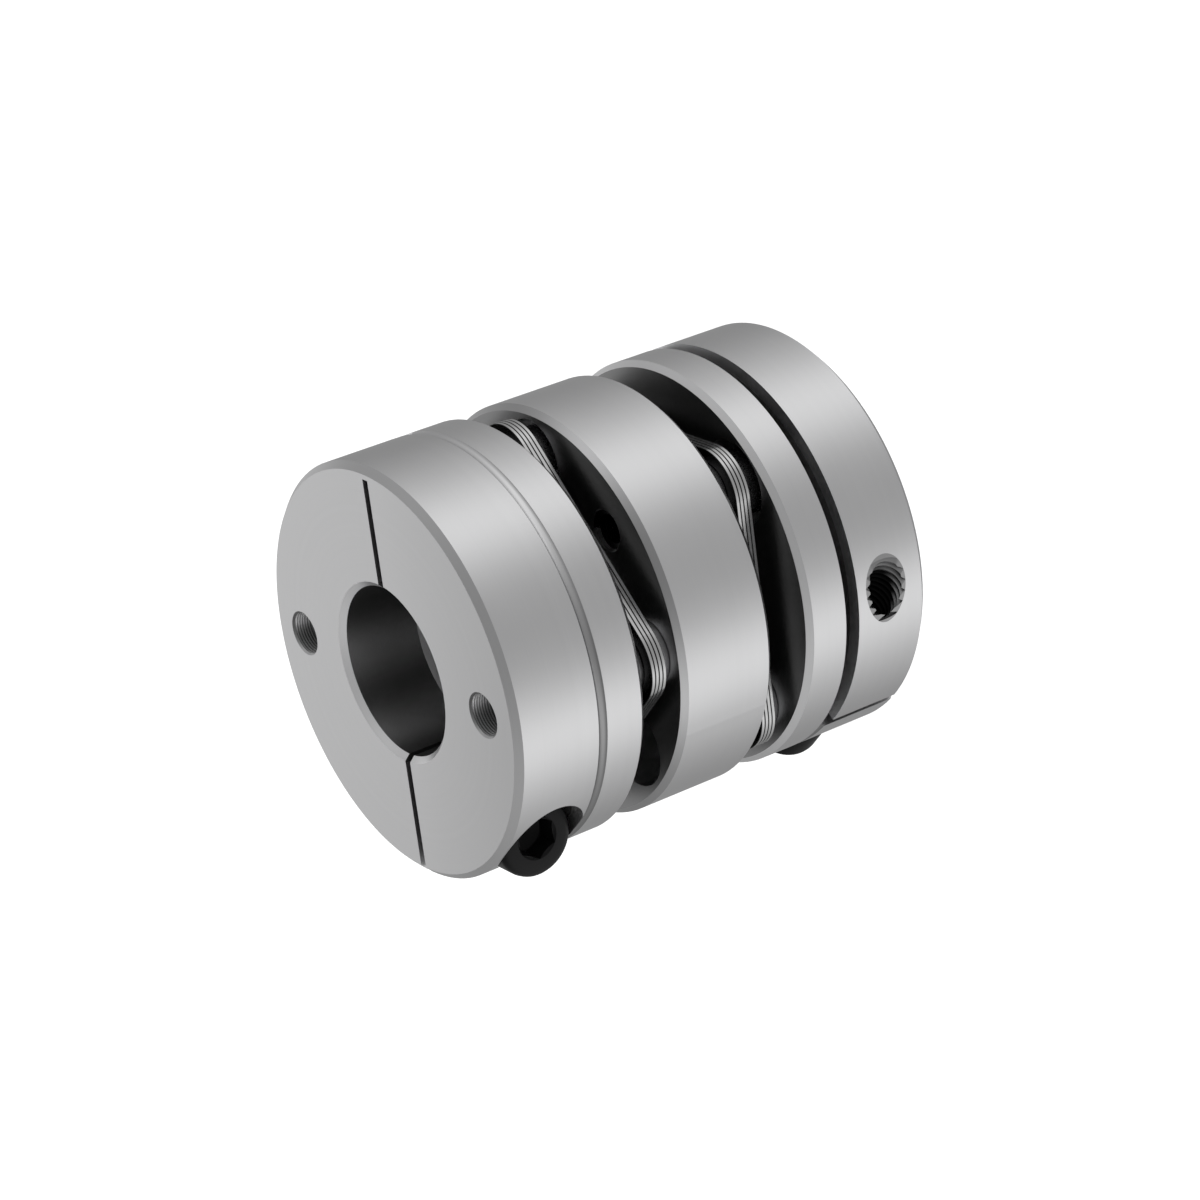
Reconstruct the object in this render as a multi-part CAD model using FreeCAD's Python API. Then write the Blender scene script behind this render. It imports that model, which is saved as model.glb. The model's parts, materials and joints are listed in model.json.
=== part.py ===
import FreeCAD, Part
import math
import os

from FreeCAD import Placement, Rotation, Vector

# A double diaphragm coupling in millimetres: two clamp hubs, a centre ring and two packs of steel leaves.
# It stands on the end face of its lower hub, with its axis along Z.

outer_diameter = 44.0
bore_diameter = 18.0
ring_bore_diameter = 22.0

hub_length = 15.4
ring_length = 11.2
flange_thickness = 4.75
groove_width = 1.05         # of the round groove between the clamp part and the flange
groove_depth = 0.25
rim_chamfer = 0.6
end_chamfer = 0.7
bore_chamfer = 0.6
inner_chamfer = 0.4         # bore edges that face a pack

# The clamp: an arm cut free by a slit and a slot, on a thin web.
slit_width = 0.9
slit_offset = 0.6           # of the slit's middle from the axis, towards the screw's head
slot_width = 1.7
web_thickness = 1.25
lower_slit_angle = -22.5    # of the slit's mouth, from +X
hub_turn = 45.0             # from the upper hub's slit to the lower one's

clamp_thread = 5.0
clamp_length = 16.0
clamp_head_diameter = 8.5
clamp_head_height = 5.0
clamp_key = 4.0
clamp_key_depth = 2.5
clamp_inset = 5.3           # of the screw's axis from the end face
clamp_wall = 3.95           # between the bore and the screw's clearance hole
clamp_seat = 9.6            # from the plane of the axis
clamp_hole_clearance = 0.25
clamp_pocket_clearance = 0.25

# The packs and their screws.
leaf_count = 4
leaf_thickness = 0.45
leaf_edge = 0.06            # broken edge of a leaf's outline
leaf_corner_radius = 4.8
leaf_opening_diameter = 23.6
leaf_hole_clearance = 0.15
screw_edge_distance = 5.5   # from the outer diameter to a pack screw's axis
screw_thread = 4.0
screw_head_diameter = 7.0
screw_head_height = 4.0
screw_key = 3.0
screw_key_depth = 2.0
hub_screw_length = 8.0
ring_screw_length = 10.0
collar_diameter = 7.0       # of washers and bushes
collar_hole_clearance = 0.1
washer_thickness = 0.8
bush_length = 1.4

# The holes of the pack screws.
hub_pocket_clearance = 1.2
ring_pocket_clearance = 0.9
head_end_clearance = 0.6
tap_runout = 0.75
key_hole_diameter = 4.4
hole_chamfer = 0.2
thread_clearance = 0.06
tip_share = 0.12            # of a thread, broken off a screw's tip
rim_share = 0.09            # of a head's height, broken off its rim
drill_angle = 118.0         # of the drill point below a key socket

outer_radius = outer_diameter / 2
bore_radius = bore_diameter / 2
flange_start = hub_length - flange_thickness
pitch_radius = outer_radius - screw_edge_distance
clamp_hole_radius = clamp_thread / 2 + clamp_hole_clearance
clamp_offset = bore_radius + clamp_wall + clamp_hole_radius
tap_radius = screw_thread / 2 + thread_clearance

stack = leaf_count * leaf_thickness
gap = stack + 2 * bush_length
ring_start = hub_length + gap
ring_end = ring_start + ring_length
upper_face = ring_end + gap
total_length = upper_face + hub_length
hub_engagement = hub_screw_length - washer_thickness - stack - bush_length
head_reach = washer_thickness + screw_head_height - bush_length
upper_slit_angle = lower_slit_angle - hub_turn

Z = Vector(0, 0, 1)
Y = Vector(0, 1, 0)


def turned(profile):
    """A solid turned about Z from a closed outline of (radius, height) points."""
    points = [Vector(r, 0, h) for r, h in profile]
    outline = Part.makePolygon(points + points[:1])
    return Part.Face(outline).revolve(Vector(), Z, 360)


def on_pitch(angle, height):
    """The point at this angle and height on the circle of the pack screws."""
    a = math.radians(angle)
    return Vector(pitch_radius * math.cos(a), pitch_radius * math.sin(a), height)


def hub_blank():
    """The hub before its slit and holes: end face at Z=0, the flange on top with a round groove below it."""
    groove_start = Vector(outer_radius, 0, flange_start - groove_width)
    groove_floor = Vector(outer_radius - groove_depth, 0, flange_start - groove_width / 2)
    groove_end = Vector(outer_radius, 0, flange_start)
    around = [
        (outer_radius, hub_length - rim_chamfer),
        (outer_radius - rim_chamfer, hub_length),
        (bore_radius + inner_chamfer, hub_length),
        (bore_radius, hub_length - inner_chamfer),
        (bore_radius, bore_chamfer),
        (bore_radius + bore_chamfer, 0),
        (outer_radius - end_chamfer, 0),
        (outer_radius, end_chamfer),
    ]
    points = [groove_end] + [Vector(r, 0, h) for r, h in around] + [groove_start]
    edges = [Part.LineSegment(a, b).toShape() for a, b in zip(points, points[1:])]
    edges.append(Part.Arc(groove_start, groove_floor, groove_end).toShape())
    return Part.Face(Part.Wire(edges)).revolve(Vector(), Z, 360)


def clamp_cuts():
    """The slit from the end face to the flange, open at +X, and the slot that frees the arm at +Y."""
    closed_end = outer_radius - web_thickness
    length = closed_end + outer_radius
    edge = -slit_offset - slit_width / 2
    slit = Part.makeBox(length, slit_width, flange_start, Vector(-closed_end, edge, 0))
    slot_start = flange_start - slot_width
    slot = Part.makeBox(length, outer_diameter, slot_width, Vector(-closed_end, edge, slot_start))
    return [slit, slot]


def clamp_holes():
    """Across the slit: the head's pocket and clearance hole at -Y, the tapped hole through the arm at +Y."""
    seat = Vector(clamp_offset, -clamp_seat, clamp_inset)
    in_slit = Vector(clamp_offset, -slit_offset, clamp_inset)
    pocket_radius = clamp_head_diameter / 2 + clamp_pocket_clearance
    tapped_radius = clamp_thread / 2 + thread_clearance
    return [
        Part.makeCylinder(pocket_radius, outer_radius, seat, -Y),
        Part.makeCylinder(clamp_hole_radius, clamp_seat - slit_offset, seat, Y),
        Part.makeCylinder(tapped_radius, outer_diameter, in_slit, Y),
    ]


def flange_holes():
    """Tapped holes on the slit's line, and across it a head pocket with a key hole from the end face."""
    cuts = []
    for angle in (0, 180):
        depth = hub_engagement + tap_runout
        cuts.append(Part.makeCylinder(tap_radius, depth, on_pitch(angle, hub_length - depth)))
    pocket_radius = screw_head_diameter / 2 + hub_pocket_clearance
    pocket_depth = head_reach + head_end_clearance
    floor = hub_length - pocket_depth
    key_radius = key_hole_diameter / 2
    for angle in (90, 270):
        cuts.append(Part.makeCylinder(pocket_radius, pocket_depth, on_pitch(angle, floor)))
        cuts.append(Part.makeCylinder(key_radius, hub_length, on_pitch(angle, 0)))
        cuts.append(Part.makeCone(key_radius + hole_chamfer, key_radius, hole_chamfer, on_pitch(angle, 0)))
    return cuts


def hub():
    """One clamp hub, standing on its end face with its slit's mouth at +X."""
    return hub_blank().cut(clamp_cuts() + clamp_holes() + flange_holes())


def centre_ring():
    """The ring: tapped holes where it carries a pack, and through pockets for the hubs' screws."""
    inner = ring_bore_diameter / 2
    blank = turned([
        (inner, ring_start + inner_chamfer),
        (inner + inner_chamfer, ring_start),
        (outer_radius - rim_chamfer, ring_start),
        (outer_radius, ring_start + rim_chamfer),
        (outer_radius, ring_end - rim_chamfer),
        (outer_radius - rim_chamfer, ring_end),
        (inner + inner_chamfer, ring_end),
        (inner, ring_end - inner_chamfer),
    ])
    pocket_radius = screw_head_diameter / 2 + ring_pocket_clearance
    cuts = []
    for slit_angle in (lower_slit_angle, upper_slit_angle):
        for side in (0, 180):
            pocket = slit_angle + side
            cuts.append(Part.makeCylinder(pocket_radius, ring_length, on_pitch(pocket, ring_start)))
            tapped = pocket + 90
            rim = tap_radius + hole_chamfer
            cuts.append(Part.makeCylinder(tap_radius, ring_length, on_pitch(tapped, ring_start)))
            cuts.append(Part.makeCone(rim, tap_radius, hole_chamfer, on_pitch(tapped, ring_start)))
            cuts.append(Part.makeCone(rim, tap_radius, hole_chamfer, on_pitch(tapped, ring_end), -Z))
    return blank.cut(cuts)


def leaf_outline(turn):
    """A square with a round corner about each of its four screws."""
    arm = Vector(leaf_corner_radius, 0, 0)
    arcs = []
    for corner in (0, 90, 180, 270):
        centre = on_pitch(turn + corner, 0)
        arcs.append([centre + Rotation(Z, turn + corner + swing).multVec(arm) for swing in (-45, 0, 45)])
    edges = []
    for arc, following in zip(arcs, arcs[1:] + arcs[:1]):
        edges.append(Part.Arc(*arc).toShape())
        edges.append(Part.LineSegment(arc[-1], following[0]).toShape())
    return Part.Wire(edges)


def leaf(height, turn):
    """One leaf of spring steel, its lower side at this height, with broken outer edges."""
    plate = Part.Face(leaf_outline(turn)).extrude(Z * leaf_thickness)
    rims = [edge for edge in plate.Edges if edge.BoundBox.ZLength < leaf_edge]
    plate = plate.makeChamfer(leaf_edge, rims)
    holes = [Part.makeCylinder(leaf_opening_diameter / 2, leaf_thickness)]
    radius = screw_thread / 2 + leaf_hole_clearance
    for corner in (0, 90, 180, 270):
        holes.append(Part.makeCylinder(radius, leaf_thickness, on_pitch(turn + corner, 0)))
    plate = plate.cut(holes)
    plate.translate(Z * height)
    return plate


def collar(length, place):
    """A washer or bush about a pack screw, its lower face at this place."""
    hole = screw_thread / 2 + collar_hole_clearance
    body = Part.makeCylinder(collar_diameter / 2, length, place)
    return body.cut(Part.makeCylinder(hole, length, place))


def cap_screw(thread, length, head_diameter, head_height, key, key_depth):
    """A socket head cap screw: its head stands on Z=0, its shank hangs below."""
    head = head_diameter / 2
    shank = thread / 2
    tip = tip_share * thread
    rim = rim_share * head_height
    body = turned([
        (0, head_height),
        (head - rim, head_height),
        (head, head_height - rim),
        (head, 0),
        (shank, 0),
        (shank, tip - length),
        (shank - tip, -length),
        (0, -length),
    ])
    floor = head_height - key_depth
    corner = Vector(key / math.sqrt(3), 0, floor)
    hexagon = Part.makePolygon([Rotation(Z, 60 * i).multVec(corner) for i in range(7)])
    socket = Part.Face(hexagon).extrude(Z * key_depth)
    point = key / 2 * math.tan(math.radians(90 - drill_angle / 2))
    return body.cut([socket, Part.makeCone(0, key / 2, point, Z * (floor - point))])


def placed(shape, place, head_direction):
    """The shape with its Z axis turned to a direction and its origin at a place."""
    moved = shape.copy()
    moved.Placement = Placement(place, Rotation(Z, head_direction))
    return moved


def pack(name, hub_face, away, slit_angle):
    """A pack with all that holds it on a hub face; away is the way from that face, +1 or -1."""
    near = hub_face + away * bush_length
    far = near + away * stack
    parts = {}
    for i in range(leaf_count):
        parts[f"{name}_leaf_{i + 1}"] = leaf(min(near, far) + i * leaf_thickness, slit_angle)
    holders = [
        ("hub", 0, far, near, away, hub_screw_length),
        ("ring", 90, near, far, -away, ring_screw_length),
    ]
    for holder, offset, washer_side, bush_side, head_way, length in holders:
        screw = cap_screw(
            screw_thread, length, screw_head_diameter, screw_head_height, screw_key, screw_key_depth
        )
        seat = washer_side + head_way * washer_thickness
        washer_low = min(washer_side, seat)
        bush_low = min(bush_side, bush_side - head_way * bush_length)
        for i in (0, 1):
            angle = slit_angle + offset + 180 * i
            label = f"{name}_{holder}"
            parts[f"{label}_screw_{i + 1}"] = placed(screw, on_pitch(angle, seat), Z * head_way)
            parts[f"{label}_washer_{i + 1}"] = collar(washer_thickness, on_pitch(angle, washer_low))
            parts[f"{label}_bush_{i + 1}"] = collar(bush_length, on_pitch(angle, bush_low))
    return parts


def clamp_assembly():
    """A hub and its clamp screw, standing on the end face with the slit's mouth at +X."""
    screw = cap_screw(
        clamp_thread, clamp_length, clamp_head_diameter, clamp_head_height, clamp_key, clamp_key_depth
    )
    seat = Vector(clamp_offset, -clamp_seat, clamp_inset)
    return hub(), placed(screw, seat, -Y)


def lower_end():
    """The lower hub with its clamp screw."""
    shapes = clamp_assembly()
    for shape in shapes:
        shape.rotate(Vector(), Z, lower_slit_angle)
    return shapes


def upper_end():
    """The upper hub with its clamp screw: the lower one turned over."""
    shapes = clamp_assembly()
    for shape in shapes:
        shape.rotate(Vector(), Vector(1, 0, 0), 180)
        shape.rotate(Vector(), Z, upper_slit_angle)
        shape.translate(Z * total_length)
    return shapes


def coupling():
    """Every piece of the coupling by its name."""
    parts = {"centre_ring": centre_ring()}
    parts["lower_hub"], parts["lower_clamp_screw"] = lower_end()
    parts["upper_hub"], parts["upper_clamp_screw"] = upper_end()
    parts.update(pack("lower", hub_length, 1, lower_slit_angle))
    parts.update(pack("upper", upper_face, -1, upper_slit_angle))
    return parts


os.makedirs("parts", exist_ok=True)
for name, shape in coupling().items():
    shape.exportStep(f"parts/{name}.step")
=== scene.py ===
import json
import math

import bmesh
import bpy
from mathutils import Matrix, Vector

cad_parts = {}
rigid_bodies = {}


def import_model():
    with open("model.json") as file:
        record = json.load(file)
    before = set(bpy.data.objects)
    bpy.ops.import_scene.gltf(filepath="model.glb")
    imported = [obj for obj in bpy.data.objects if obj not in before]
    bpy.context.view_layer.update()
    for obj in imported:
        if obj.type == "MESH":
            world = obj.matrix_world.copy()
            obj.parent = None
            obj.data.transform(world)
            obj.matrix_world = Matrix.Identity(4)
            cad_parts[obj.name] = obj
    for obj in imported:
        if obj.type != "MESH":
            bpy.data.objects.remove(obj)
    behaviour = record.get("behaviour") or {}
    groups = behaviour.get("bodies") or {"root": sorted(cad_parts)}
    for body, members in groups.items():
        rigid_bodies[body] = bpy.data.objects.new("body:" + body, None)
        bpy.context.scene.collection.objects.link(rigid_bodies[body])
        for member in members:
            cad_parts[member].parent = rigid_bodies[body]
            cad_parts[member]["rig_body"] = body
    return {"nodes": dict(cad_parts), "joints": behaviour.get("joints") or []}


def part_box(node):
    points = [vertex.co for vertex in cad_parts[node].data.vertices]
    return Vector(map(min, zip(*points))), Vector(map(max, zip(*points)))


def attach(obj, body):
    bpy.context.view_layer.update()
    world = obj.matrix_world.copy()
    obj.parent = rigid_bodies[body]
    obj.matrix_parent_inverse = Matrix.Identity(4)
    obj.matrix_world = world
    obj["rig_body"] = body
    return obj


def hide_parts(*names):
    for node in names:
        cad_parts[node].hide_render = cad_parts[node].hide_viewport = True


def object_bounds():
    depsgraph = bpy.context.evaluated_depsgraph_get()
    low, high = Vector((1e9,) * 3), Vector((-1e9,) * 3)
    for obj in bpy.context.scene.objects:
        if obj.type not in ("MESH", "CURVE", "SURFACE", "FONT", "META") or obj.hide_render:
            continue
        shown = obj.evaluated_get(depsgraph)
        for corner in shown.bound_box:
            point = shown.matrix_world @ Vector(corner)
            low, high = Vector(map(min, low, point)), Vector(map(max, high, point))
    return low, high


bl_info = {
    "name": "Diaphragm coupling",
    "version": (1, 0, 0),
    "blender": (4, 5, 0),
    "location": "View3D > Sidebar > Coupling",
    "description": "Finishes, screws, collars and threads of a double diaphragm coupling",
    "category": "Object",
}

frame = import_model()
cad_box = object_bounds()

Z_AXIS = Vector((0, 0, 1))
BLACK = (0.0, 0.0, 0.0, 1.0)
PACKS = {"lower": 1, "upper": -1}      # the way from a hub to its pack
HOLDERS = {"hub": 1, "ring": -1}       # the way of the heads, as a share of that way

# Steps of a full turn, and how near two points come to count as one.
ROUND_STEPS = 64
SINK_STEPS = 48
SKIN_STEPS = 360
SCREW_THREAD_STEPS = 32
TAPPED_THREAD_STEPS = 40
SAME_POINT = 1e-8
ON_RIM = 1e-7
SHARP_ANGLE = math.radians(32)

# A screw's small forms, as shares of its sizes.
SCREW_THREAD_DEPTH = 0.6134            # of the pitch
SCREW_THREAD_HALVES = (0.44, 0.07)     # half widths of the rib at its root and its crest, of the pitch
SCREW_THREAD_SINK = 0.06               # of the rib into the shank, of the pitch
SCREW_THREAD_END = 0.6                 # from the tip, and from the head, to the rib's middle, of the pitch
TAPPED_THREAD_DEPTH = 0.5413           # of the pitch
TAPPED_THREAD_HALVES = (0.13, 0.47)    # half widths at its crest and in the wall, of the pitch
TIP_CONE = 0.12                        # of the thread
DRILL_POINT_DEPTH = 0.3                # of the width across flats
DRILL_POINT_WIDTH = 0.98               # of the width across flats
SOCKET_LEAD = 0.06                     # of the width across flats
SOCKET_TURN = math.radians(30)         # of the clamp screws' sockets

# How a face stands: the square of its normal's upward part, and its normal's outward part.
LEVEL_FROM = 0.25
SLOPING_TO = 0.75
OUTWARD_FROM = 0.3

# Where the finish and the painted light and shade of the hubs and the ring change, in metres.
SKIN_DEPTH = 0.0008                    # the outside with its rims, from the outer radius
END_DEPTH = 0.0009                     # an end face with its edges, from the end
LIP_DEPTH = 0.0015                     # where painted light goes on a slot's sides, from the outer radius
GROOVE_DEPTH = 0.00003                 # the groove's floor, from the outer radius
GROOVE_FROM, GROOVE_TO = 0.01494, 0.01601    # the groove's sides, from the middle
PACK_FACES = 0.012                     # the faces about the packs, from the middle
RING_FACES = 0.007                     # the ring's own, from the middle
BORE_REACH = 0.0098                    # the bore with its edge, from the axis
KEY_CIRCLE = 0.0165                    # the key holes' circle
KEY_REACH = 0.0026                     # a key hole, from its own axis
KEY_EDGE_REACH = 0.0030                # a key hole with its edge
KEY_AZIMUTH = math.radians(67.5)       # of the lower hub's key holes; the upper's are mirrored
KEY_MARKS = 0.0003                     # from ring to ring in a key hole

# Painted light and shade on faces, as shares of the plain finish.
PACK_SIDE_PAINTED_SHADE = 0.45                  # painted shade on the faces about the packs
INNER_PAINTED_SHADE = 0.9                         # painted shade on other faces that aren't on the outside
LIP_PAINTED_LIGHT = 0.7                         # painted light added where light reaches a slot's sides
GROOVE_TONES = (0.46, 1.0)             # away from the light and towards it
GROOVE_FADE = (-0.1, 0.55)             # from one to the other, as shares of the radius
GROOVE_LIGHT = 125                     # azimuth in degrees
END_PAINTED_SHADES = (1.0, 0.87)                # painted shade near the axis and near one side of an end face
END_FADE = (0.002, 0.020)              # from one to the other, in metres
END_SHADOW = 20                        # azimuth in degrees
# Painted light that brightens the flanges' rims and the bores' edges.
FLANGE_RIM_PAINTED_LIGHT = 1.32
BORE_EDGE_PAINTED_LIGHT = 1.55
RIM_TONE, BORE_TONE, KEY_TONE = 0.72, 0.28, 0.36      # steady parts under the painted streaks of light

# Streaks of light round an upright wall: azimuth in degrees, sharpness and strength. Those on the ring's
# rims, the bores and the key holes are painted highlights and reflections, the key edges' shadow is painted
# shade, and the studio lamps light the world.
RIM_PAINTED_HIGHLIGHTS = ((14.0, 20.0, 0.8), (86.0, 20.0, 0.85))
BORE_PAINTED_REFLECTIONS = ((206.0, 20.0, 1.0), (264.0, 22.0, 1.0), (26.0, 20.0, 1.0), (84.0, 22.0, 1.0))
KEY_PAINTED_HIGHLIGHTS = ((-4.0, 8.0, 1.6), (125.0, 8.0, 0.5))
KEY_EDGE_SHADOW = ((-5.0, 1.0, 1.0),)
STUDIO_LAMPS = (
    (45.0, 1.0, 0.183),                                   # the front
    (-13.6, 11.2, 0.445), (104.5, 11.2, 0.445),           # two tall soft boxes
    (-33.0, 3.8, 0.42), (123.9, 3.8, 0.42),               # and what they spill
)
LAMP_TOP, LAMP_FADE = 1.2, 1.45        # how the lamps end upwards
BACK_AZIMUTH, BACK_RISE, BACK_SHARPNESS = 218.0, 12.0, 14.0      # the light from behind, in degrees


def length(name, description, default):
    """A length in metres for the sidebar."""
    return bpy.props.FloatProperty(
        name=name, description=description, default=default, min=0, precision=5,
        subtype="DISTANCE", unit="LENGTH",
    )


def share(name, description, default):
    """A number from 0 to 1 for the sidebar."""
    return bpy.props.FloatProperty(
        name=name, description=description, default=default, min=0, max=1, subtype="FACTOR",
    )


def colour(name, description, default):
    """A linear colour for the sidebar."""
    return bpy.props.FloatVectorProperty(
        name=name, description=description, default=default, size=3, min=0, max=1, subtype="COLOR",
    )


def direction(name, description, default):
    """A direction for the sidebar."""
    return bpy.props.FloatVectorProperty(
        name=name, description=description, default=default, subtype="DIRECTION",
    )


class CouplingSizes(bpy.types.PropertyGroup):
    """Sizes of the screws, the collars and the tapped holes."""
    outer_radius: length("Outer radius", "Radius of the hubs and the ring", cad_box[1].x)
    pack_thread: length("Pack thread", "Thread of the screws that hold the packs", 0.004)
    pack_pitch: length("Pack pitch", "Pitch of the pack screws' thread", 0.0007)
    pack_head: length("Pack head", "Diameter of the pack screws' heads", 0.007)
    pack_head_height: length("Pack head height", "Height of the pack screws' heads", 0.004)
    pack_key: length("Pack key", "Width across flats of the pack screws' sockets", 0.003)
    pack_key_depth: length("Pack key depth", "Depth of the pack screws' sockets", 0.002)
    clamp_thread: length("Clamp thread", "Thread of the clamp screws", 0.005)
    clamp_pitch: length("Clamp pitch", "Pitch of the clamp screws' thread", 0.0008)
    clamp_head: length("Clamp head", "Diameter of the clamp screws' heads", 0.0085)
    clamp_head_height: length("Clamp head height", "Height of the clamp screws' heads", 0.005)
    clamp_key: length("Clamp key", "Width across flats of the clamp screws' sockets", 0.004)
    clamp_key_depth: length("Clamp key depth", "Depth of the clamp screws' sockets", 0.0025)
    pack_rounding: length("Pack rounding", "Radius of the rim on top of a pack screw's head", 0.00035)
    clamp_rounding: length("Clamp rounding", "Radius of the rim on top of a clamp screw's head", 0.0009)
    collar_hole: length("Collar hole", "Hole of the washers and bushes", 0.0042)
    collar_rounding: length("Collar rounding", "Radius of the collars' edges", 0.00012)
    tap_clearance: length("Tap clearance", "From a thread's outside to the wall of its hole", 0.00006)
    tap_foot: length("Tap foot", "How far a tapped thread's rib goes into the wall", 0.00003)
    tap_end: length("Tap end", "From a pack screw's tip or the ring's face to the hole's thread", 0.0003)
    clamp_tap_end: length("Clamp tap end", "From a clamp screw's tip to the thread that shows", 0.0007)


class CouplingFinishes(bpy.types.PropertyGroup):
    """Colours and roughness of the metals."""
    aluminium: colour("Aluminium", "Turned faces of the hubs and the ring", (0.60, 0.60, 0.605))
    aluminium_roughness: share("Aluminium roughness", "Mean roughness of the turned faces", 0.32)
    # The tapped threads are darker than the turned aluminium, as painted shade in the holes.
    tapped: colour("Tapped aluminium", "Threads in the tapped holes", (0.30, 0.30, 0.302))
    tapped_roughness: share("Tapped roughness", "Mean roughness of the tapped threads", 0.4)
    leaf: colour("Leaf steel", "Rolled spring steel of the leaves", (0.50, 0.50, 0.50))
    leaf_roughness: share("Leaf roughness", "Mean roughness of the leaves", 0.2)
    screw: colour("Screw steel", "Plain steel of the pack screws", (0.42, 0.42, 0.43))
    screw_roughness: share("Screw roughness", "Mean roughness of the pack screws", 0.27)
    collar: colour("Collar steel", "Ground steel of the washers and bushes", (0.56, 0.56, 0.57))
    collar_roughness: share("Collar roughness", "Mean roughness of the washers and bushes", 0.36)
    black: colour("Black steel", "Oxide black of the clamp screws", (0.005, 0.005, 0.0052))
    black_gloss: share("Black gloss", "Sheen of the upper clamp screw", 0.13)
    # Painted shade: the lower clamp screw's sheen is cut down so that it looks darker.
    lower_painted_shade_gloss: share("Lower gloss", "Sheen of the lower clamp screw, as a share of the upper's", 0.2)
    black_roughness: share("Black roughness", "Mean roughness of the clamp screws", 0.33)


class CouplingStage(bpy.types.PropertyGroup):
    """The floor, the studio light and the camera."""
    floor_size: length("Floor size", "Side of the floor", 6.0)
    floor: colour("Floor", "Colour of the floor", (0.92, 0.92, 0.92))
    floor_roughness: share("Floor roughness", "Roughness of the floor", 0.9)
    floor_glow: share("Floor glow", "Light that the floor gives off itself", 0.9)
    room_light: share("Room light", "Strength of the light from all round", 0.34)
    back_light: share("Back light", "Strength of the light from behind", 0.93)
    lens: bpy.props.FloatProperty(
        name="Lens", description="Focal length", default=121.687, subtype="DISTANCE_CAMERA",
    )
    sensor: bpy.props.FloatProperty(
        name="Sensor", description="Width of the sensor", default=36.0, subtype="DISTANCE_CAMERA",
    )
    near_clip: length("Near clip", "Where the camera's view begins", 0.01)
    camera_place: bpy.props.FloatVectorProperty(
        name="Camera place", description="Where the camera stands", default=(0.243361, 0.265732, 0.236458),
        subtype="TRANSLATION", unit="LENGTH", precision=5,
    )
    picture_right: direction(
        "Picture right", "The way to the right in the picture", (0.580718, 0.109019, -0.806773),
    )
    picture_down: direction(
        "Picture down", "The way down in the picture", (0.569347, -0.762724, 0.306752),
    )


class Value:
    """A node's socket. Sums, products and comparisons of it with numbers or values add Math nodes."""

    def __init__(self, tree, socket):
        self.tree = tree
        self.socket = socket

    def math(self, operation, *others):
        values = dict(enumerate((self,) + others))
        return self.tree.add("ShaderNodeMath", {"operation": operation}, values)

    def __add__(self, other):
        return self.math("ADD", other)

    def __sub__(self, other):
        return self.math("SUBTRACT", other)

    def __rsub__(self, other):
        return self.tree.add("ShaderNodeMath", {"operation": "SUBTRACT"}, {0: other, 1: self})

    def __mul__(self, other):
        return self.math("MULTIPLY", other)

    def __truediv__(self, other):
        return self.math("DIVIDE", other)

    def __pow__(self, other):
        return self.math("POWER", other)

    def __abs__(self):
        return self.math("ABSOLUTE")

    def __gt__(self, other):
        return self.math("GREATER_THAN", other)

    def __lt__(self, other):
        return self.math("LESS_THAN", other)

    __radd__ = __add__
    __rmul__ = __mul__


class Tree:
    """A node tree that is filled from nothing."""

    def __init__(self, owner):
        owner.use_nodes = True
        self.nodes = owner.node_tree.nodes
        self.links = owner.node_tree.links
        self.nodes.clear()

    def add(self, kind, settings=None, values=None, outputs=(0,)):
        """Adds a node, makes its settings, fills its sockets, and gives its outputs."""
        node = self.nodes.new(kind)
        for name, setting in (settings or {}).items():
            setattr(node, name, setting)
        for name, value in (values or {}).items():
            if isinstance(value, Value):
                self.links.new(value.socket, node.inputs[name])
            else:
                node.inputs[name].default_value = value
        found = [Value(self, node.outputs[output]) for output in outputs]
        return found[0] if len(found) == 1 else found

    def coordinate(self, output):
        """An output of the Texture Coordinate node: Generated, Normal, UV or Object."""
        return self.add("ShaderNodeTexCoord", None, None, (output,))

    def parts(self, vector):
        """The X, Y and Z of a vector."""
        return self.add("ShaderNodeSeparateXYZ", None, {0: vector}, (0, 1, 2))

    def noise(self, position, scale, detail, roughness):
        """Soft noise of about 0 to 1 over a place or, for one number, over that number."""
        over_place = position.socket.type == "VECTOR"
        settings = {"noise_dimensions": "3D" if over_place else "1D"}
        return self.add("ShaderNodeTexNoise", settings, {
            "Vector" if over_place else "W": position,
            "Scale": scale, "Detail": detail, "Roughness": roughness,
        })

    def ramp(self, value, start, end, low, high, kind="SMOOTHSTEP"):
        """Goes from a low to a high level while a value goes from a start to an end."""
        return self.add("ShaderNodeMapRange", {"interpolation_type": kind}, {
            "Value": value, "From Min": start, "From Max": end, "To Min": low, "To Max": high,
        })

    def shaded(self, factor, base):
        """A colour made darker or lighter by a factor."""
        settings = {"data_type": "RGBA", "clamp_factor": False}
        return self.add("ShaderNodeMix", settings, {0: factor, 6: BLACK, 7: base}, (2,))

    def tinted(self, tone, tint, low, high):
        """A tint that goes from one share of itself to another with a tone."""
        values = {0: tone, 6: rgba(tint, low), 7: rgba(tint, high)}
        return self.add("ShaderNodeMix", {"data_type": "RGBA"}, values, (2,))

    def bump(self, height, depth):
        """Normals of a surface whose marks are this deep."""
        return self.add("ShaderNodeBump", None, {"Strength": 1.0, "Distance": depth, "Height": height})

    def metal(self, base, roughness, normal, metallic=1.0, specular=0.5):
        """Ends the tree in a metal shader."""
        shader = self.add("ShaderNodeBsdfPrincipled", None, {
            "Base Color": base, "Roughness": roughness, "Metallic": metallic, "Normal": normal,
            "Specular IOR Level": specular,
        })
        self.add("ShaderNodeOutputMaterial", None, {"Surface": shader}, ())


def rgba(tint, factor=1.0):
    """A colour with its alpha, made lighter or darker by a factor."""
    return (*[min(1.0, channel * factor) for channel in tint], 1.0)


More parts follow.
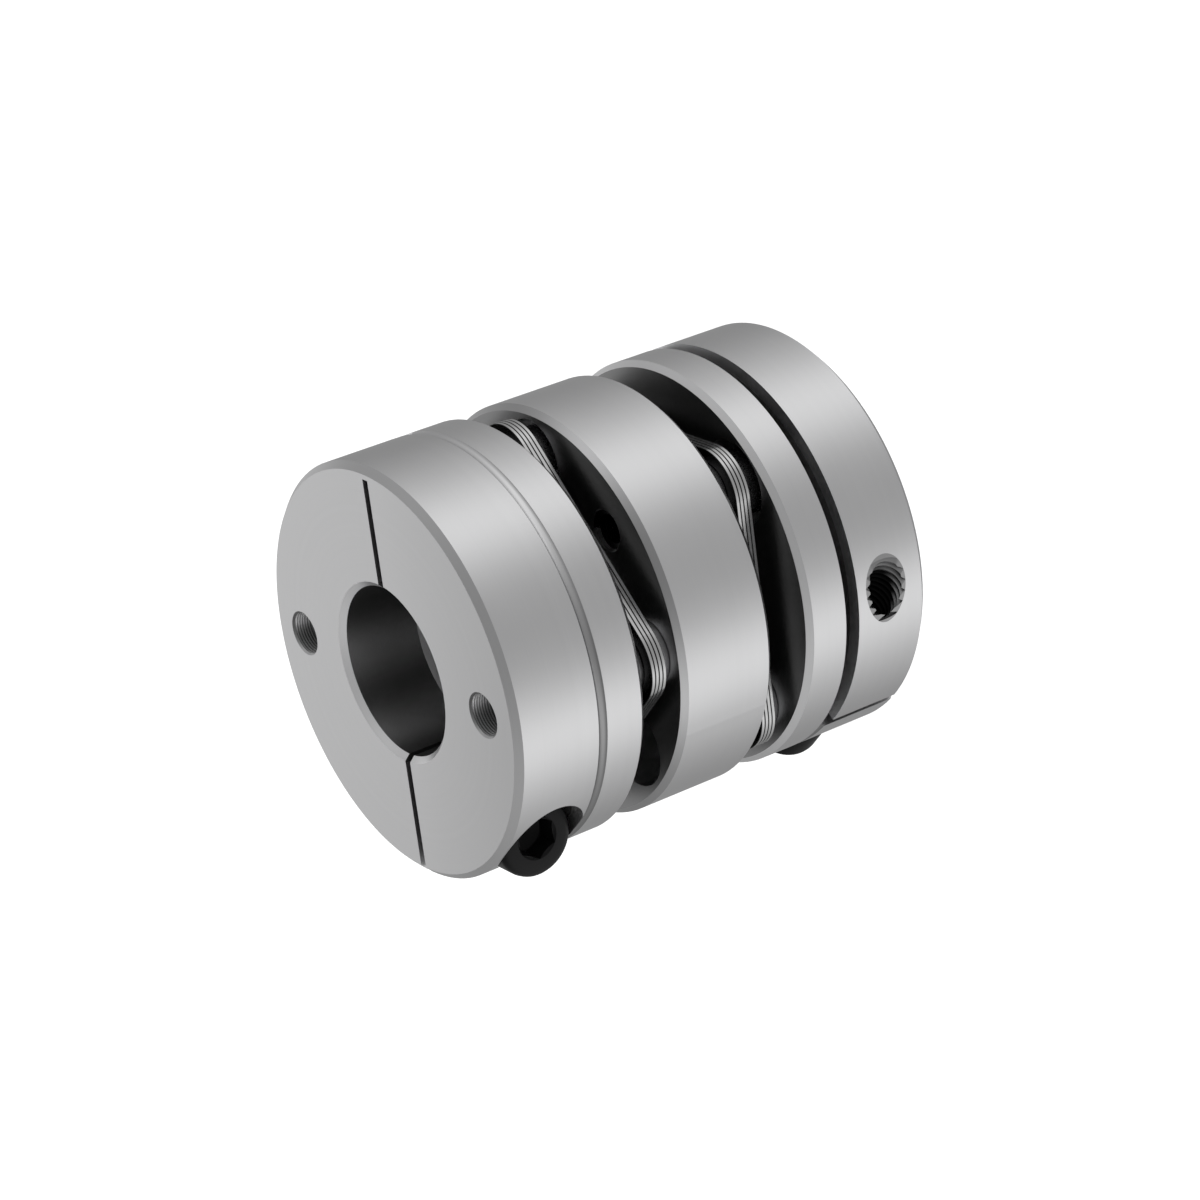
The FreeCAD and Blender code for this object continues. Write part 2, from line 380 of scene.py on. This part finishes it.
def started(name):
    """A new material with an empty tree and the place on the object."""
    material = bpy.data.materials.new(name)
    tree = Tree(material)
    return material, tree, tree.coordinate("Object")


def towards(ahead, aside, azimuth):
    """How far a level direction goes towards an azimuth, in degrees from the X axis."""
    turn = math.radians(azimuth)
    return ahead * math.cos(turn) + aside * math.sin(turn)


def lit(ahead, aside, streaks, steady=0.0):
    """The light that streaks throw on a level direction, over a steady part."""
    light = steady
    for azimuth, sharpness, strength in streaks:
        light = light + towards(ahead, aside, azimuth).math("MAXIMUM", 0.0) ** sharpness * strength
    return light


def where(mask, factor):
    """A factor where a mask is 1, and 1 where it is 0."""
    return mask * (factor - 1) + 1


class TurnedSpot:
    """Where a spot on a hub or the ring lies, how it faces, and masks of the face that it is on."""

    def __init__(self, tree, place, sizes):
        self.tree = tree
        self.x, self.y, self.z = tree.parts(place)
        self.normal_x, self.normal_y, self.normal_z = tree.parts(tree.coordinate("Normal"))
        self.radius = (self.x * self.x + self.y * self.y) ** 0.5
        self.level_x = self.x / self.radius
        self.level_y = self.y / self.radius
        self.find_outer_faces(sizes.outer_radius)
        self.find_holes()

    def find_outer_faces(self, outer_radius):
        """Masks of the outside, the ends, the rims, the groove, and the faces in gaps and slots."""
        radius = self.radius
        middle = cad_box[1].z / 2
        outward = (self.x * self.normal_x + self.y * self.normal_y) / radius
        from_middle = abs(self.z - middle)
        self.upper = self.z > middle
        upward = self.normal_z * self.normal_z
        self.level_face = upward > LEVEL_FROM
        self.sloping = self.level_face * (upward < SLOPING_TO)
        self.skin = (radius > outer_radius - SKIN_DEPTH) * (outward > OUTWARD_FROM)
        self.end = (from_middle > middle - END_DEPTH) * self.level_face
        self.pack_side = self.level_face * (from_middle < PACK_FACES)
        self.slot_lip = self.level_face * (1 - self.pack_side) * (radius > outer_radius - LIP_DEPTH)
        groove_height = (from_middle > GROOVE_FROM) * (from_middle < GROOVE_TO)
        self.groove = self.skin * groove_height * (radius < outer_radius - GROOVE_DEPTH)
        rim = self.skin * self.pack_side
        self.ring_rim = rim * (from_middle < RING_FACES)
        self.flange_rim = rim - self.ring_rim

    def find_holes(self):
        """Masks of the bore and the key holes, and of their edges."""
        wall = (1 - self.level_face) * (1 - self.skin)
        edge = self.end * self.sloping
        ahead, aside = math.cos(KEY_AZIMUTH), math.sin(KEY_AZIMUTH)
        hole_x = self.upper * (aside - ahead) + ahead
        hole_y = self.upper * (ahead - aside) + aside
        along = abs(hole_x * self.x + hole_y * self.y) - KEY_CIRCLE
        askew = hole_x * self.y - hole_y * self.x
        from_hole = (along ** 2.0 + askew * askew) ** 0.5
        self.bore = wall * (self.radius < BORE_REACH)
        self.bore_edge = edge * (self.radius < BORE_REACH)
        self.key_hole = wall * (from_hole < KEY_REACH)
        self.key_edge = edge * (from_hole < KEY_EDGE_REACH)

    def shade(self):
        """The painted light and shade on the spot's face, as a factor on the plain finish."""
        around = (self.level_x, self.level_y)
        facing_way = (self.normal_x, self.normal_y)
        seen = self.skin.math("MAXIMUM", self.end)
        # Painted shade on the faces about the packs and on the other inner faces, with painted light on a
        # slot's sides.
        painted_inner_light_and_shade = self.pack_side * PACK_SIDE_PAINTED_SHADE + (1 - self.pack_side) * INNER_PAINTED_SHADE + self.slot_lip * LIP_PAINTED_LIGHT
        groove_shade = self.tree.ramp(towards(*around, GROOVE_LIGHT), *GROOVE_FADE, *GROOVE_TONES)
        # Painted shade that darkens an end face towards one side.
        painted_end_shade = self.tree.ramp(towards(self.x, self.y, END_SHADOW), *END_FADE, *END_PAINTED_SHADES, "LINEAR")
        shade = (seen + (1 - seen) * painted_inner_light_and_shade) * where(self.groove, groove_shade)
        shade = shade * where(self.ring_rim, lit(*around, RIM_PAINTED_HIGHLIGHTS, RIM_TONE))
        shade = shade * where(self.flange_rim, FLANGE_RIM_PAINTED_LIGHT)
        shade = shade * where(self.bore, lit(*around, BORE_PAINTED_REFLECTIONS, BORE_TONE))
        shade = shade * where(self.bore_edge, BORE_EDGE_PAINTED_LIGHT)
        shade = shade * where(self.key_hole, lit(*facing_way, KEY_PAINTED_HIGHLIGHTS, KEY_TONE))
        shade = shade * where(self.key_edge, 1 - lit(*facing_way, KEY_EDGE_SHADOW))
        return shade * where(self.end * (1 - self.skin), painted_end_shade)


def turned_aluminium(sizes, finishes):
    """Satin aluminium with fine rings from the lathe, on the round sides and the end faces, with painted
    light and shade in its base colour.
    """
    material, tree, place = started("turned_aluminium")
    spot = TurnedSpot(tree, place, sizes)
    across = spot.z + spot.radius * 1.7
    rings = tree.noise(across, scale=5200.0, detail=4.0, roughness=0.7)
    passes = tree.noise(across, scale=900.0, detail=2.0, roughness=0.5)
    grain = tree.noise(place, scale=9000.0, detail=2.0, roughness=0.6)
    clouds = tree.noise(place, scale=160.0, detail=3.0, roughness=0.5)
    tone = rings * 0.35 + passes * 0.25 + clouds * 0.4
    # The base colour carries the painted light and shade of each face.
    base = tree.shaded(spot.shade(), tree.tinted(tone, finishes.aluminium, 0.94, 1.06))
    roughness = (rings - 0.5) * 0.08 + (clouds - 0.5) * 0.05 + spot.bore * 0.12 + finishes.aluminium_roughness
    drill_marks = (spot.z * (math.tau / KEY_MARKS)).math("SINE") * spot.key_hole
    normal = tree.bump(rings * 0.6 + grain * 0.4 + drill_marks * 16.0, depth=0.0000022)
    tree.metal(base, roughness, normal, metallic=1 - spot.key_hole * 0.85)
    return material


def rolled_steel(name, finishes, first, thickness):
    """Bright spring steel with faint streaks along the rolling, and painted shade in the seams from leaf to
    leaf.
    """
    material, tree, place = started(name)
    streaked = tree.add("ShaderNodeMapping", None, {"Vector": place, "Scale": (60.0, 2600.0, 900.0)})
    streaks = tree.noise(streaked, scale=1.0, detail=4.0, roughness=0.6)
    clouds = tree.noise(place, scale=350.0, detail=2.0, roughness=0.5)
    base = tree.tinted(streaks * 0.6 + clouds * 0.4, finishes.leaf, 0.9, 1.06)
    across = ((tree.parts(place)[2] - first) / thickness).math("FRACT")
    # Painted shade: the seams between the leaves go dark.
    base = tree.shaded(tree.ramp(abs(across - 0.5), 0.24, 0.42, 1.0, 0.03), base)
    roughness = (streaks - 0.5) * 0.12 + finishes.leaf_roughness
    tree.metal(base, roughness, tree.bump(streaks, depth=0.0000012))
    return material


def tapped_aluminium(sizes, finishes):
    """Threads in aluminium that catch light at their mouth and lie in the dark below it."""
    material, tree, place = started("tapped_aluminium")
    x, y, z = tree.parts(place)
    mouth = sizes.outer_radius - (x * x + y * y) ** 0.5
    marks = tree.noise(place, scale=4000.0, detail=3.0, roughness=0.65)
    base = tree.tinted(marks, finishes.tapped, 0.88, 1.08)
    base = tree.shaded(tree.ramp(mouth, 0.0011, 0.0020, 1.0, 0.03), base)
    roughness = (marks - 0.5) * 0.1 + finishes.tapped_roughness
    tree.metal(base, roughness, tree.bump(marks, depth=0.0000015))
    return material


def plain_steel(name, tint, mean_roughness, mark_scale):
    """Turned or ground steel with fine marks all round."""
    material, tree, place = started(name)
    marks = tree.noise(place, scale=mark_scale, detail=3.0, roughness=0.65)
    clouds = tree.noise(place, scale=500.0, detail=2.0, roughness=0.5)
    base = tree.tinted(marks * 0.5 + clouds * 0.5, tint, 0.88, 1.08)
    roughness = (marks - 0.5) * 0.1 + (clouds - 0.5) * 0.08 + mean_roughness
    tree.metal(base, roughness, tree.bump(marks, depth=0.0000007))
    return material


def black_oxide(name, finishes, gloss):
    """Blackened steel with a thin oily sheen."""
    material, tree, place = started(name)
    grain = tree.noise(place, scale=7000.0, detail=3.0, roughness=0.65)
    clouds = tree.noise(place, scale=600.0, detail=3.0, roughness=0.55)
    base = tree.tinted(clouds, finishes.black, 0.7, 1.5)
    roughness = (clouds - 0.5) * 0.12 + (grain - 0.5) * 0.06 + finishes.black_roughness
    tree.metal(base, roughness, tree.bump(grain, depth=0.0000018), metallic=0.0, specular=gloss)
    return material


def turned(outline, steps, closed):
    """A bmesh turned about the Z axis from an outline of (radius, height) points."""
    bm = bmesh.new()
    points = [bm.verts.new((radius, 0, height)) for radius, height in outline]
    following = points[1:] + points[:1] if closed else points[1:]
    edges = [bm.edges.new(pair) for pair in zip(points, following)]
    bmesh.ops.spin(
        bm, geom=points + edges, cent=(0, 0, 0), axis=Z_AXIS, dvec=(0, 0, 0),
        angle=math.tau, steps=steps, use_merge=True,
    )
    bmesh.ops.remove_doubles(bm, verts=bm.verts, dist=SAME_POINT)
    bmesh.ops.recalc_face_normals(bm, faces=bm.faces)
    return bm


def rounded(bm, radius, height, rounding, segments):
    """Rounds the edges of a turned bmesh that run round at this radius and height."""
    rim = []
    for edge in bm.edges:
        if all(abs(v.co.xy.length - radius) < ON_RIM and abs(v.co.z - height) < ON_RIM for v in edge.verts):
            rim.append(edge)
    bmesh.ops.bevel(
        bm, geom=rim, offset=rounding, offset_type="OFFSET", affect="EDGES", segments=segments,
        profile=0.5, material=-1, clamp_overlap=True,
    )


def combined(base, tool, operation):
    """The bmesh that is left of a base after a tool cuts it, or the part that both share."""
    solids = []
    for bm in (base, tool):
        mesh = bpy.data.meshes.new("blank")
        bm.to_mesh(mesh)
        bm.free()
        solids.append(bpy.data.objects.new("blank", mesh))
        bpy.context.collection.objects.link(solids[-1])
    modifier = solids[0].modifiers.new("cut", "BOOLEAN")
    modifier.operation = operation
    modifier.solver = "EXACT"
    modifier.object = solids[1]
    result = bmesh.new()
    result.from_object(solids[0], bpy.context.evaluated_depsgraph_get())
    for solid in solids:
        mesh = solid.data
        bpy.data.objects.remove(solid)
        bpy.data.meshes.remove(mesh)
    return result


def upright(steps, lower_radius, upper_radius, height, middle):
    """A closed cone, cylinder or prism about the Z axis, with its middle at a height."""
    bm = bmesh.new()
    bmesh.ops.create_cone(
        bm, cap_ends=True, segments=steps, radius1=lower_radius, radius2=upper_radius, depth=height,
        matrix=Matrix.Translation((0, 0, middle)),
    )
    return bm


def wound_rib(inner, inner_half, outer, outer_half, pitch, rise, steps_per_turn):
    """A thread's closed rib, wound up the Z axis. Its half widths at both radii are shares of the pitch."""
    bm = bmesh.new()
    outline = (
        (inner, -inner_half * pitch), (outer, -outer_half * pitch),
        (outer, outer_half * pitch), (inner, inner_half * pitch),
    )
    points = [bm.verts.new((radius, 0, height)) for radius, height in outline]
    edges = [bm.edges.new(pair) for pair in zip(points, points[1:] + points[:1])]
    steps = round(rise / pitch * steps_per_turn)
    bmesh.ops.spin(
        bm, geom=points + edges, cent=(0, 0, 0), axis=Z_AXIS, dvec=(0, 0, pitch / steps_per_turn),
        angle=math.tau * steps / steps_per_turn, steps=steps, use_merge=False,
    )
    bmesh.ops.holes_fill(bm, edges=[edge for edge in bm.edges if edge.is_boundary], sides=0)
    bmesh.ops.recalc_face_normals(bm, faces=bm.faces)
    return bm


def joined(base, other):
    """One bmesh of two."""
    mesh = bpy.data.meshes.new("joined")
    other.to_mesh(mesh)
    other.free()
    base.from_mesh(mesh)
    bpy.data.meshes.remove(mesh)
    return base


def screw_blank(root, tip, shank, head, head_height, rounding):
    """A cap screw's head and plain shank. The head stands on Z=0 and the shank hangs below."""
    bm = turned([
        (0, head_height),
        (head / 2, head_height),
        (head / 2, 0),
        (root, 0),
        (root, tip - shank),
        (root - tip / 2, -shank),
        (0, -shank),
    ], ROUND_STEPS, False)
    rounded(bm, head / 2, head_height, rounding, segments=4)
    rounded(bm, head / 2, 0, rounding / 4, segments=1)
    return bm


def with_socket(bm, head_height, key, key_depth):
    """Cuts a six-sided socket with a drill point and a short lead into a screw's head."""
    floor = head_height - key_depth
    corner = key / math.sqrt(3)
    point = key * DRILL_POINT_DEPTH
    lead = key * SOCKET_LEAD
    overlap = 0.00001
    prism = upright(6, corner, corner, key_depth * 2, floor + key_depth)
    drill = upright(SINK_STEPS, 0, key / 2 * DRILL_POINT_WIDTH, point, floor + overlap - point / 2)
    sink = upright(SINK_STEPS, corner - lead, corner + lead, lead * 2, head_height)
    for tool in (prism, drill, sink):
        bm = combined(bm, tool, "DIFFERENCE")
    return bm


def socket_screw(thread, pitch, shank, head, head_height, key, key_depth, rounding):
    """A socket head cap screw with a rolled thread: its head stands on Z=0, its shank hangs below."""
    major = thread / 2
    root = major - SCREW_THREAD_DEPTH * pitch
    tip = TIP_CONE * thread
    bm = screw_blank(root, tip, shank, head, head_height, rounding)
    bm = with_socket(bm, head_height, key, key_depth)
    sunk = root - SCREW_THREAD_SINK * pitch
    free = SCREW_THREAD_END * pitch
    root_half, crest_half = SCREW_THREAD_HALVES
    rib = wound_rib(sunk, root_half, major, crest_half, pitch, shank - 2 * free, SCREW_THREAD_STEPS)
    bmesh.ops.translate(rib, verts=rib.verts, vec=(0, 0, free - shank))
    for vert in rib.verts:
        radius = vert.co.xy.length
        limit = max(min(root - tip / 2 + (vert.co.z + shank), major), sunk)
        if radius > limit:
            vert.co.xy *= limit / radius
    return joined(bm, rib)


def inner_thread(thread, pitch, sizes, start, end):
    """The thread of a tapped hole between two heights, as a rib on the hole's wall."""
    wall = thread / 2 + sizes.tap_clearance
    crest = thread / 2 - TAPPED_THREAD_DEPTH * pitch
    crest_half, foot_half = TAPPED_THREAD_HALVES
    foot = wall + sizes.tap_foot
    rib = wound_rib(crest, crest_half, foot, foot_half, pitch, end - start, TAPPED_THREAD_STEPS)
    bmesh.ops.translate(rib, verts=rib.verts, vec=(0, 0, start))
    return rib


def piece(name, bm, material, body):
    """A finished piece of the coupling from a bmesh that is in its place."""
    mesh = bpy.data.meshes.new(name)
    bm.to_mesh(mesh)
    bm.free()
    mesh.materials.append(material)
    mesh.shade_smooth()
    mesh.set_sharp_from_angle(angle=SHARP_ANGLE)
    made = bpy.data.objects.new(name, mesh)
    bpy.context.collection.objects.link(made)
    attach(made, body)
    return made


def facing(place, way):
    """The matrix that takes the origin to a place and the Z axis to a direction."""
    turn = way.to_track_quat("Z", "Y").to_matrix().to_4x4()
    return Matrix.Translation(place) @ turn


def body_of(node):
    """The body that a CAD node rides on."""
    return frame["nodes"][node]["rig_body"]


def refinished(names, material):
    """Gives CAD nodes a finish."""
    for name in names:
        for slot in frame["nodes"][name].material_slots:
            slot.material = material


def pack_seats():
    """Each pack screw: its label and number, its axis, its head's way, its lowest and highest point."""
    for pack, way in PACKS.items():
        for holder, share_of_way in HOLDERS.items():
            for number in (1, 2):
                low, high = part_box(f"{pack}_{holder}_screw_{number}")
                yield f"{pack}_{holder}", number, (low + high) / 2, way * share_of_way, low.z, high.z


def clamp_seats():
    """Each clamp screw: its node, its hub, where its head sits, the head's way, and its shank's length."""
    for joint in frame["joints"]:
        if joint["name"].endswith("clamp_screw_turn"):
            node = joint["child"]
            seat = Vector(joint["pos_m"])
            head_way = Vector(joint["axis"])
            points = [vert.co for vert in frame["nodes"][node].data.vertices]
            shank = -min((point - seat).dot(head_way) for point in points)
            yield node, joint["parent"], seat, head_way, shank


class COUPLING_OT_turned_bodies(bpy.types.Operator):
    """Finishes the hubs and the centre ring in satin turned aluminium"""
    bl_idname = "coupling.turned_bodies"
    bl_label = "Hubs and centre ring"

    def execute(self, context):
        finish = turned_aluminium(context.scene.coupling_sizes, context.scene.coupling_finishes)
        refinished(("lower_hub", "centre_ring", "upper_hub"), finish)
        return {"FINISHED"}


class COUPLING_OT_leaves(bpy.types.Operator):
    """Finishes the leaves of both packs in bright rolled spring steel"""
    bl_idname = "coupling.leaves"
    bl_label = "Leaves"

    def execute(self, context):
        for pack in PACKS:
            leaves = [name for name in frame["nodes"] if name.startswith(f"{pack}_leaf_")]
            low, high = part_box(f"{pack}_leaf_1")
            name = f"rolled_steel_{pack}"
            finish = rolled_steel(name, context.scene.coupling_finishes, low.z, high.z - low.z)
            refinished(leaves, finish)
        return {"FINISHED"}


class COUPLING_OT_collars(bpy.types.Operator):
    """Makes the washers and bushes about the pack screws, with rounded edges"""
    bl_idname = "coupling.collars"
    bl_label = "Washers and bushes"

    def execute(self, context):
        sizes = context.scene.coupling_sizes
        finishes = context.scene.coupling_finishes
        finish = plain_steel("ground_steel", finishes.collar, finishes.collar_roughness, mark_scale=6000.0)
        for node in [name for name in frame["nodes"] if "_washer_" in name or "_bush_" in name]:
            low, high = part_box(node)
            outer = (high.x - low.x) / 2
            inner = sizes.collar_hole / 2
            rise = high.z - low.z
            bm = turned([(inner, 0), (outer, 0), (outer, rise), (inner, rise)], ROUND_STEPS, True)
            for radius in (inner, outer):
                for height in (0, rise):
                    rounded(bm, radius, height, sizes.collar_rounding, segments=3)
            centre = (low + high) / 2
            bmesh.ops.translate(bm, verts=bm.verts, vec=(centre.x, centre.y, low.z))
            made = piece(f"{node}_rounded", bm, finish, body_of(node))
            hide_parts(node)
        return {"FINISHED"}


class COUPLING_OT_pack_screws(bpy.types.Operator):
    """Makes the eight threaded screws that hold the packs on the hubs and the ring"""
    bl_idname = "coupling.pack_screws"
    bl_label = "Pack screws"

    def execute(self, context):
        sizes = context.scene.coupling_sizes
        finishes = context.scene.coupling_finishes
        finish = plain_steel("plain_steel", finishes.screw, finishes.screw_roughness, mark_scale=3500.0)
        made_screws = {}
        for label, number, middle, head_way, low, high in pack_seats():
            node = f"{label}_screw_{number}"
            shank = high - low - sizes.pack_head_height
            kind = round(shank, 4)
            if kind not in made_screws:
                made_screws[kind] = socket_screw(
                    sizes.pack_thread, sizes.pack_pitch, shank, sizes.pack_head, sizes.pack_head_height,
                    sizes.pack_key, sizes.pack_key_depth, sizes.pack_rounding,
                )
            bm = made_screws[kind].copy()
            seat = low + shank if head_way > 0 else high - shank
            place = facing(Vector((middle.x, middle.y, seat)), Z_AXIS * head_way)
            bmesh.ops.transform(bm, matrix=place, verts=bm.verts)
            made = piece(f"{node}_threaded", bm, finish, body_of(node))
            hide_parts(node)
        return {"FINISHED"}


class COUPLING_OT_clamp_screws(bpy.types.Operator):
    """Makes the threaded black screws that clamp the hubs on their shafts"""
    bl_idname = "coupling.clamp_screws"
    bl_label = "Clamp screws"

    def execute(self, context):
        sizes = context.scene.coupling_sizes
        finishes = context.scene.coupling_finishes
        for node, hub, seat, head_way, shank in clamp_seats():
            # The lower clamp screw gets less sheen, as painted shade.
            gloss = finishes.black_gloss * (finishes.lower_painted_shade_gloss if node.startswith("lower") else 1)
            finish = black_oxide(f"black_oxide_{node}", finishes, gloss)
            bm = socket_screw(
                sizes.clamp_thread, sizes.clamp_pitch, shank, sizes.clamp_head, sizes.clamp_head_height,
                sizes.clamp_key, sizes.clamp_key_depth, sizes.clamp_rounding,
            )
            place = facing(seat, head_way) @ Matrix.Rotation(SOCKET_TURN, 4, "Z")
            bmesh.ops.transform(bm, matrix=place, verts=bm.verts)
            made = piece(f"{node}_threaded", bm, finish, node)
            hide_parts(node)
        return {"FINISHED"}


class COUPLING_OT_tapped_threads(bpy.types.Operator):
    """Makes the threads that show in the tapped holes of the clamp arms and the ring"""
    bl_idname = "coupling.tapped_threads"
    bl_label = "Tapped threads"

    def execute(self, context):
        sizes = context.scene.coupling_sizes
        finish = tapped_aluminium(sizes, context.scene.coupling_finishes)
        skin_radius = sizes.outer_radius - 0.00001
        skin_height = 0.03
        past_skin = sizes.outer_radius * 1.3
        for node, hub, seat, head_way, shank in clamp_seats():
            start = shank + sizes.clamp_tap_end
            bm = inner_thread(sizes.clamp_thread, sizes.clamp_pitch, sizes, start, past_skin)
            bmesh.ops.transform(bm, matrix=facing(seat, -head_way), verts=bm.verts)
            skin = upright(SKIN_STEPS, skin_radius, skin_radius, skin_height, seat.z)
            bm = combined(bm, skin, "INTERSECT")
            piece(f"{hub}_clamp_thread", bm, finish, hub)
        ring_low, ring_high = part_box("centre_ring")
        for label, number, middle, head_way, low, high in pack_seats():
            if label.endswith("_ring"):
                tip = low if head_way > 0 else high
                face = ring_low.z if head_way > 0 else ring_high.z
                clear = sizes.tap_end * head_way
                start, end = sorted((tip - clear, face + clear))
                bm = inner_thread(sizes.pack_thread, sizes.pack_pitch, sizes, start, end)
                bmesh.ops.translate(bm, verts=bm.verts, vec=(middle.x, middle.y, 0))
                piece(f"{label}_thread_{number}", bm, finish, "centre_ring")
        return {"FINISHED"}


class COUPLING_OT_stage(bpy.types.Operator):
    """Lays the pale floor and sets the soft studio light and the camera"""
    bl_idname = "coupling.stage"
    bl_label = "Floor, light and camera"

    def execute(self, context):
        stage = context.scene.coupling_stage
        lay_floor(stage)
        light_studio(stage)
        set_camera(stage)
        context.scene.view_settings.view_transform = "Standard"
        return {"FINISHED"}


def lay_floor(stage):
    """A pale plain floor under the coupling."""
    material, tree, place = started("pale_floor")
    clouds = tree.noise(place, scale=3.0, detail=2.0, roughness=0.5)
    shader = tree.add("ShaderNodeBsdfPrincipled", None, {
        "Base Color": tree.tinted(clouds, stage.floor, 0.98, 1.02), "Roughness": stage.floor_roughness,
        "Emission Color": rgba(stage.floor), "Emission Strength": stage.floor_glow,
    })
    tree.add("ShaderNodeOutputMaterial", None, {"Surface": shader}, ())
    bm = bmesh.new()
    bmesh.ops.create_grid(bm, x_segments=8, y_segments=8, size=stage.floor_size / 2)
    mesh = bpy.data.meshes.new("floor")
    bm.to_mesh(mesh)
    bm.free()
    mesh.materials.append(material)
    floor = bpy.data.objects.new("floor", mesh)
    bpy.context.collection.objects.link(floor)
    floor.visible_glossy = False


def light_studio(stage):
    """Soft light all round, brighter in two tall soft boxes and from behind."""
    world = bpy.data.worlds.new("studio")
    bpy.context.scene.world = world
    tree = Tree(world)
    x, y, z = tree.parts(tree.coordinate("Generated"))
    level = (x * x + y * y + 0.0001) ** 0.5
    low = (LAMP_TOP - z * LAMP_FADE).math("MAXIMUM", 0.0).math("MINIMUM", 1.0)
    rise = math.radians(BACK_RISE)
    behind = towards(x, y, BACK_AZIMUTH) * math.cos(rise) + z * math.sin(rise)
    behind = behind.math("MAXIMUM", 0.0) ** BACK_SHARPNESS
    light = lit(x / level, y / level, STUDIO_LAMPS) * low + behind * stage.back_light + stage.room_light
    shader = tree.add("ShaderNodeBackground", None, {"Color": (1.0, 1.0, 1.0, 1.0), "Strength": light})
    tree.add("ShaderNodeOutputWorld", None, {"Surface": shader}, ())


def set_camera(stage):
    """The camera at the photograph's viewing angle."""
    camera = bpy.data.objects.new("camera", bpy.data.cameras.new("camera"))
    bpy.context.collection.objects.link(camera)
    camera.data.lens = stage.lens
    camera.data.sensor_width = stage.sensor
    camera.data.clip_start = stage.near_clip
    right = Vector(stage.picture_right).normalized()
    down = Vector(stage.picture_down).normalized()
    ahead = right.cross(down)
    turn = Matrix((right, -down, -ahead)).transposed()
    camera.matrix_world = Matrix.Translation(stage.camera_place) @ turn.to_4x4()
    bpy.context.scene.camera = camera


class COUPLING_PT_sidebar(bpy.types.Panel):
    """The coupling's pieces, sizes and finishes"""
    bl_label = "Diaphragm coupling"
    bl_idname = "COUPLING_PT_sidebar"
    bl_space_type = "VIEW_3D"
    bl_region_type = "UI"
    bl_category = "Coupling"

    def draw(self, context):
        for operator in OPERATORS:
            self.layout.operator(operator.bl_idname)
        for name in SETTINGS:
            settings = getattr(context.scene, name)
            box = self.layout.box()
            for setting in settings.bl_rna.properties:
                if setting.identifier not in ("rna_type", "name"):
                    box.prop(settings, setting.identifier)


SETTINGS = {
    "coupling_sizes": CouplingSizes,
    "coupling_finishes": CouplingFinishes,
    "coupling_stage": CouplingStage,
}
OPERATORS = (
    COUPLING_OT_turned_bodies,
    COUPLING_OT_leaves,
    COUPLING_OT_collars,
    COUPLING_OT_pack_screws,
    COUPLING_OT_clamp_screws,
    COUPLING_OT_tapped_threads,
    COUPLING_OT_stage,
)
CLASSES = (*SETTINGS.values(), *OPERATORS, COUPLING_PT_sidebar)


def register():
    for cls in CLASSES:
        bpy.utils.register_class(cls)
    for name, group in SETTINGS.items():
        setattr(bpy.types.Scene, name, bpy.props.PointerProperty(type=group))


def unregister():
    for name in SETTINGS:
        delattr(bpy.types.Scene, name)
    for cls in reversed(CLASSES):
        bpy.utils.unregister_class(cls)


def main():
    register()
    bpy.ops.coupling.turned_bodies()
    bpy.ops.coupling.leaves()
    bpy.ops.coupling.collars()
    bpy.ops.coupling.pack_screws()
    bpy.ops.coupling.clamp_screws()
    bpy.ops.coupling.tapped_threads()
    bpy.ops.coupling.stage()


if __name__ == "__main__":
    main()
